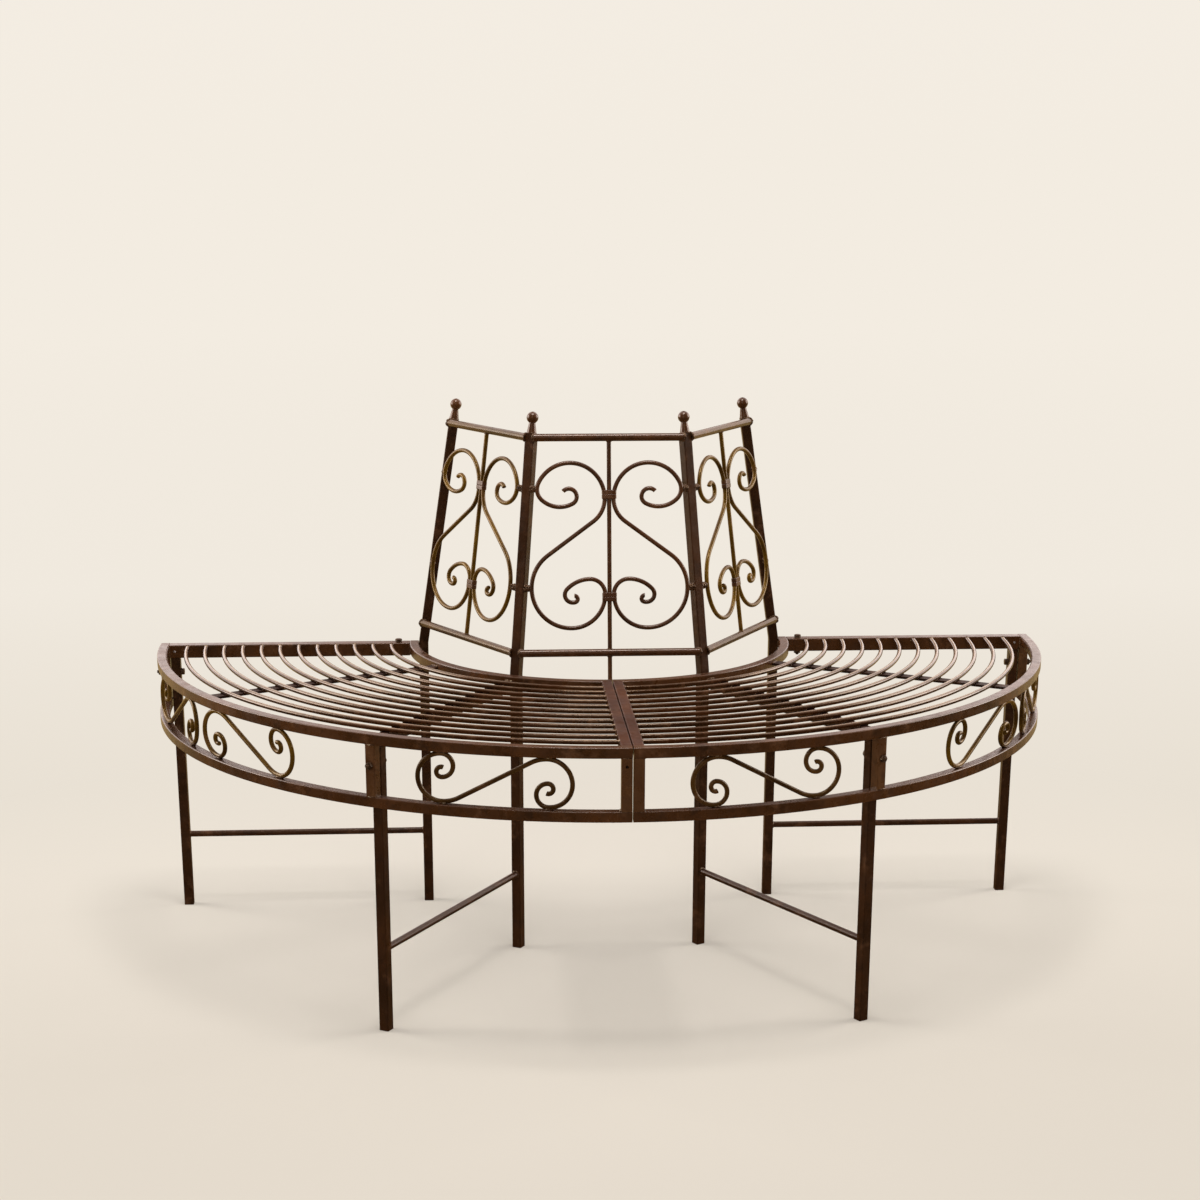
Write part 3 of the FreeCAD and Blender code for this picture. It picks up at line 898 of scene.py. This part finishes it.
def build_beads():
    """One mesh object per group, smooth shaded, riding on the bench."""
    luck = random.Random(7)
    for group, rows in beads.items():
        bm = bmesh.new()
        for points, closed, size in rows:
            bead_mesh(bm, points, closed, size, luck)
        obj = object_from(bm, group, back_weld_metal if group == "welds_back" else weld_metal)
        obj.data.shade_smooth()
        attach(obj, "root")
        print(group, len(rows), "beads,", len(obj.data.vertices), "vertices")


build_beads()

# %% [markdown]
# ## Bolts, nuts and washers
#
# A hexagon bolt's corners are turned off at 30 degrees, which leaves a round face with curved
# edges where it meets the flats. The thread is a ridge that climbs one pitch in each turn. Both
# are made here as stacks of rings of points: the same ring, with its radius and height changed
# from point to point.

# %% Rings and skins
SEGMENTS = 48


def skin(bm, rings):
    """Joins rings of points into one closed skin."""
    rows = [[bm.verts.new(p) for p in ring] for ring in rings]
    for a, b in zip(rows, rows[1:]):
        for k in range(SEGMENTS):
            bm.faces.new((a[k], a[(k + 1) % SEGMENTS], b[(k + 1) % SEGMENTS], b[k]))
    bm.faces.new(list(reversed(rows[0])))
    bm.faces.new(rows[-1])


def ring_on(axes, radius, height):
    """A ring round a bolt's axis; radius and height are functions of the angle."""
    origin, u, v, w = axes
    ring = []
    for t in around(SEGMENTS):
        ring.append(origin + (u * math.cos(t) + v * math.sin(t)) * radius(t) + w * height(t))
    return ring


def plain_ring(axes, radius, height):
    """A flat round ring."""
    return ring_on(axes, lambda t: radius, lambda t: height)


print("points in a ring:", SEGMENTS)

# %% [markdown]
# The bolts are of the 6 mm size, with 10 mm across the flats. A head and a nut are the same
# shape, but the nut is bored, with a small countersink on its outer face. The washer was punched,
# so one of its edges is rounded and the other one sharp.

# %% Hexagons and washers
FLATS = 0.010
FACE_R = 0.475 * FLATS
CHAMFER = math.radians(30)
SHANK = 0.003
SINK = 0.0005
WASHER = 0.0014
WASHER_R = 0.006
WASHER_EDGE = (  # radius and height of each ring
    (0.0056, 0.0),
    (WASHER_R, -0.0001),
    (WASHER_R, -0.0009),
    (0.0058, -0.0012),
    (0.0055, -WASHER),
)
HEAD = 0.004
NUT = 0.005


def hexagon(t):
    """The radius of a hexagon at this angle."""
    return FLATS / 2 / math.cos(t % (math.pi / 3) - math.pi / 6)


def turned_off(t):
    """How much lower the flats' edge lies at this angle than the round face."""
    return (hexagon(t) - FACE_R) * math.tan(CHAMFER)


def add_hexagon(bm, axes, low, high, bored):
    """A hexagon with turned corners on both faces, and a small countersink where it is bored."""
    rings = [plain_ring(axes, FACE_R, low)]
    rings.append(ring_on(axes, hexagon, lambda t: low + turned_off(t)))
    rings.append(ring_on(axes, hexagon, lambda t: high - turned_off(t)))
    rings.append(plain_ring(axes, FACE_R, high))
    if bored:
        rings.append(plain_ring(axes, SHANK + SINK, high))
        rings.append(plain_ring(axes, SHANK, high - SINK))
    skin(bm, rings)


def add_washer(bm, axes):
    """A punched washer with one rounded edge and one sharp one."""
    skin(bm, [plain_ring(axes, radius, height) for radius, height in WASHER_EDGE])


print("head over the corners:", round(FLATS / math.cos(math.pi / 6), 4), "m")

# %% [markdown]
# The thread is cut into the shank, so its ridge stays just inside the shank's own radius, and its
# grooves lie lower. Near the tip it fades out into a small cone, as on a rolled bolt.

# %% The thread
THREAD_PITCH = 0.001
RINGS_PER_TURN = 6
GROOVE = 0.80
RIDGE = 0.19
FADE = 0.0008
TIP = 0.74


def thread_radius(t, z, fade):
    """The radius of the screw thread, highest in the middle of each pitch."""
    phase = (z / THREAD_PITCH - t / (2 * math.pi)) % 1.0
    crest = 1 - abs(2 * phase - 1)
    return SHANK * (GROOVE + RIDGE * crest * fade)


def add_thread(bm, axes, low, high):
    """The threaded end of the shank, from inside the nut to its narrowed tip."""
    rings = []
    steps = int((high - low) / (THREAD_PITCH / RINGS_PER_TURN))
    for i in range(steps):
        z = low + (high - low) * i / steps
        fade = min(1.0, (high - z) / FADE)
        rings.append(ring_on(axes, lambda t: thread_radius(t, z, fade), lambda t: z))
    rings.append(plain_ring(axes, SHANK * TIP, high))
    skin(bm, rings)


print("thread pitch:", THREAD_PITCH, "m")

# %% [markdown]
# Each leg is bolted to its apron post, with the head and washer on the inside and the nut
# outside. Each end bar has one bolt that stands upright, with its nut underneath. The plain CAD
# bolts are replaced by these.

# %% Fit the bolts
TAIL = 0.0025
THREAD_HIDDEN = 0.002
nut_low, nut_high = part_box("leg_nuts")
end_low, end_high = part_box("end_bar_bolts")
BOLT_Z = (nut_low.z + nut_high.z) / 2
BOLT_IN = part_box("outer_leg_right_end")[0].x
NUT_OUT = nut_high.x - BOLT_IN
END_X = end_high.x - WASHER_R
END_MIDDLE_Y = (end_low.y + end_high.y) / 2
leg_axes = [(place(BOLT_IN, d, BOLT_Z), along(d), UP, outwards(d)) for d in PAIR_ANGLES]
end_axes = []
for side in (1, -1):
    top = Vector((side * END_X, END_MIDDLE_Y, RIM_TOP))
    end_axes.append((top, TO_RIGHT * side, TO_BACK * side, -UP))


def build_leg_bolts(bm):
    """Heads and washers inside, threaded ends outside."""
    for axes in leg_axes:
        add_washer(bm, axes)
        add_hexagon(bm, axes, -WASHER - HEAD, -WASHER, False)
        add_thread(bm, axes, NUT_OUT - THREAD_HIDDEN, NUT_OUT + TAIL)


def build_leg_nuts(bm):
    """One nut on each leg bolt."""
    for axes in leg_axes:
        add_hexagon(bm, axes, NUT_OUT - NUT, NUT_OUT, True)


def build_end_bolts(bm):
    """The bolts through the end bars, with their nuts underneath."""
    for axes in end_axes:
        nut_end = END_HEIGHT + NUT
        add_washer(bm, axes)
        add_hexagon(bm, axes, -WASHER - HEAD, -WASHER, False)
        add_hexagon(bm, axes, END_HEIGHT, nut_end, True)
        add_thread(bm, axes, nut_end - THREAD_HIDDEN, nut_end + TAIL)


def bolt_mesh(name, build):
    """One object from a function that adds its shapes."""
    bm = bmesh.new()
    build(bm)
    obj = object_from(bm, name, bolt_steel)
    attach(obj, "root")
    return obj


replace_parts(bolt_mesh("leg_bolts_threaded", build_leg_bolts), "leg_bolts")
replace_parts(bolt_mesh("leg_nuts_chamfered", build_leg_nuts), "leg_nuts")
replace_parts(bolt_mesh("end_bar_bolts_threaded", build_end_bolts), "end_bar_bolts")
print("bolts at height", round(BOLT_Z, 4), "and end bolts at x", round(END_X, 4))

# %% [markdown]
# ## Floor and light
#
# The bench stands in a plain cream studio, but its coat mirrors a garden. So the floor and the air
# each have one look for the camera and another one for reflections, and three short helpers make
# these shaders and choose between them.

# %% Shaders for the floor and the air
AIR_LOW = linear(243, 236, 225)
AIR_HIGH = linear(245, 238, 229)


def emission(tree, colour):
    """A shader that glows in a colour by itself."""
    node = tree.nodes.new("ShaderNodeEmission")
    feed(tree, colour, node.inputs["Color"])
    return node.outputs["Emission"]


def background(tree, colour, strength):
    """A shader for the air in one colour."""
    node = tree.nodes.new("ShaderNodeBackground")
    feed(tree, colour, node.inputs["Color"])
    node.inputs["Strength"].default_value = strength
    return node.outputs["Background"]


def mix_shaders(tree, factor, first, second):
    """The first shader where the factor is 0, the second where it is 1."""
    node = tree.nodes.new("ShaderNodeMixShader")
    tree.links.new(factor, node.inputs["Fac"])
    tree.links.new(first, node.inputs[1])
    tree.links.new(second, node.inputs[2])
    return node.outputs["Shader"]


print("shader helpers: emission, background, mix_shaders")

# %% [markdown]
# The floor is one large disc, a little warmer and darker in front. Close to the bench it takes the
# real shadow, and far off it fades to the colour of the air, so that no horizon shows from any
# side. In reflections it is a lawn.

# %% The floor
PAPER_FRONT = linear(228, 219, 205)
PAPER_BACK = linear(240, 233, 222)
LAWN = linear(80, 60, 30)
LAWN_SUN = linear(206, 178, 124)
FLOOR_RADIUS = 60.0
FLOOR_Z = -0.0005
GLOW_NEAR = 0.2


def floor_finish():
    """Cream paper: lit by the lamps near the bench, glowing by itself further off.

    In the coat's reflections it is a lawn instead, shaded near the bench and sunlit behind it.
    """
    mat, tree, shader, coords = new_material("studio_floor")
    tree.nodes.remove(shader)
    depth = coordinate(tree, coords.outputs["Object"], "Y")
    away = tree.nodes.new("ShaderNodeVectorMath")
    away.operation = "LENGTH"
    tree.links.new(coords.outputs["Object"], away.inputs[0])
    distance = away.outputs["Value"]
    paper = mix(tree, ramp(tree, depth, -0.4, 3.4), PAPER_FRONT, PAPER_BACK)
    paper = mix(tree, ramp(tree, distance, 3.0, 14.0), paper, AIR_LOW)
    matt = tree.nodes.new("ShaderNodeBsdfDiffuse")
    feed(tree, paper, matt.inputs["Color"])
    glowing = scaled(tree, ramp(tree, distance, 0.75, 1.6), 1 - GLOW_NEAR, GLOW_NEAR)
    lit = mix_shaders(tree, glowing, matt.outputs["BSDF"], emission(tree, paper))
    lawn = emission(tree, mix(tree, ramp(tree, depth, 0.5, 1.6), LAWN, LAWN_SUN))
    rays = tree.nodes.new("ShaderNodeLightPath")
    seen = mix_shaders(tree, rays.outputs["Is Glossy Ray"], lit, lawn)
    tree.links.new(seen, tree.nodes["Material Output"].inputs["Surface"])
    return mat


bpy.ops.mesh.primitive_circle_add(
    vertices=96, radius=FLOOR_RADIUS, fill_type="NGON", location=(0, 0, FLOOR_Z))
floor = bpy.context.object
floor.name = "studio_floor"
floor.data.materials.append(floor_finish())
print("floor radius", FLOOR_RADIUS, "m")

# %% [markdown]
# For the camera the air is cream, and it gives a weak even light. In the coat's reflections it is
# a garden's sky instead. Outdoors such a bench is lit by the open sky on both sides and above,
# and is dark in front, where the onlooker stands. Behind the middle stands the tree, so the sky
# is dim there as well.

# %% The air
SKY_FRONT = linear(64, 50, 38)
SKY_TREE = linear(92, 64, 44)
SKY_BACK = linear(246, 232, 228)
SKY_TOP = linear(218, 205, 200)
SKY_STRENGTH = 2.1
TREE_ASIDE = 0.06
EVEN_LIGHT = linear(240, 238, 240)
EVEN_STRENGTH = 0.32


def sky_tone(tree, direction):
    """The sky in the coat's reflections, by the direction in which it is looked at."""
    height = coordinate(tree, direction, "Z")
    sky = mix(tree, ramp(tree, height, 0.0, 0.9), SKY_BACK, SKY_TOP)
    aside = scaled(tree, coordinate(tree, direction, "X"), 1.0, -TREE_ASIDE)
    sky = mix(tree, ramp(tree, unsigned(tree, aside), 0.04, 0.20), SKY_TREE, sky)
    depth = coordinate(tree, direction, "Y")
    return mix(tree, ramp(tree, depth, -0.45, 0.4), SKY_FRONT, sky)


def make_world():
    """Cream for the camera, a weak even light, and for the coat a sky that is dark in front."""
    world = bpy.data.worlds.new("studio_air")
    bpy.context.scene.world = world
    world.use_nodes = True
    tree = world.node_tree
    tree.nodes.remove(tree.nodes["Background"])
    direction = tree.nodes.new("ShaderNodeTexCoord").outputs["Generated"]
    height = coordinate(tree, direction, "Z")
    cream = mix(tree, ramp(tree, height, 0.0, 0.2), AIR_LOW, AIR_HIGH)
    even = background(tree, EVEN_LIGHT, EVEN_STRENGTH)
    sky = background(tree, sky_tone(tree, direction), SKY_STRENGTH)
    rays = tree.nodes.new("ShaderNodeLightPath")
    light = mix_shaders(tree, rays.outputs["Is Glossy Ray"], even, sky)
    air = mix_shaders(tree, rays.outputs["Is Camera Ray"], light, background(tree, cream, 1.0))
    tree.links.new(air, tree.nodes["World Output"].inputs["Surface"])


make_world()
print("the air's even light:", EVEN_STRENGTH)

# %% [markdown]
# Four soft lamps give the rest of the light: one overhead for the sheen on the tops and the
# shadow below, one at each side for the light lines along the rods and the rims' ends, and a
# faint one in front.

# %% The lamps
SEAT_MIDDLE = (0, 0.1, 0.4)
FRONT_MIDDLE = (0, 0, 0.4)


def add_lamp(name, where, target, width, watts, tone):
    """A square soft lamp that points at a target."""
    data = bpy.data.lights.new(name, "AREA")
    data.shape = "SQUARE"
    data.size = width
    data.energy = watts
    data.color = tone
    lamp = bpy.data.objects.new(name, data)
    lamp.location = where
    lamp.rotation_euler = (Vector(target) - Vector(where)).to_track_quat("-Z", "Y").to_euler()
    bpy.context.scene.collection.objects.link(lamp)


add_lamp("overhead", (0.0, -0.4, 3.4), SEAT_MIDDLE, 1.1, watts=54, tone=(0.97, 0.96, 0.97))
add_lamp("left_box", (-3.4, 0.9, 1.7), SEAT_MIDDLE, 2.0, watts=74, tone=(0.97, 0.955, 0.93))
add_lamp("right_box", (3.4, 0.7, 1.7), SEAT_MIDDLE, 2.0, watts=68, tone=(0.97, 0.955, 0.925))
add_lamp("front_fill", (-0.8, -4.0, 2.4), FRONT_MIDDLE, 2.0, watts=11, tone=(0.97, 0.955, 0.93))
print("lamps:", [lamp.name for lamp in bpy.data.lights])

# %% [markdown]
# ## Camera
#
# The camera stands a little to the left of the bench, about three and a half metres off and at
# the eye height of a child, and looks down at it. Its lens is a third longer than a normal one.
# Its picture is cut from the upper part of a taller one, which a vertical shift says.

# %% The camera
CAMERA_AT = Vector((-0.24984, CENTRE_Y - 3.82840, 1.25858))
YAW = 0.0658
LOOK_DOWN = 0.3105
ROLL = 0.0026
SENSOR = 36.0
LENS = 67.73
SHIFT_UP = 0.2343


def camera_axes():
    """The camera's right, up and forward directions from its three angles."""
    level = Vector((math.sin(YAW), math.cos(YAW), 0))
    forward = level * math.cos(LOOK_DOWN) - UP * math.sin(LOOK_DOWN)
    right = Vector((math.cos(YAW), -math.sin(YAW), 0))
    up = right.cross(forward)
    level_share = math.cos(ROLL)
    roll_share = math.sin(ROLL)
    rolled_right = right * level_share + up * roll_share
    rolled_up = up * level_share - right * roll_share
    return rolled_right, rolled_up, forward


right, up, forward = camera_axes()
camera_data = bpy.data.cameras.new("camera")
camera_data.sensor_width = SENSOR
camera_data.lens = LENS
camera_data.shift_y = SHIFT_UP
camera = bpy.data.objects.new("camera", camera_data)
turn = Matrix((right, up, -forward)).transposed().to_4x4()
camera.matrix_world = Matrix.Translation(CAMERA_AT) @ turn
bpy.context.scene.collection.objects.link(camera)
bpy.context.scene.camera = camera
bpy.context.scene.view_settings.view_transform = "Standard"
print("camera at", [round(v, 3) for v in CAMERA_AT])
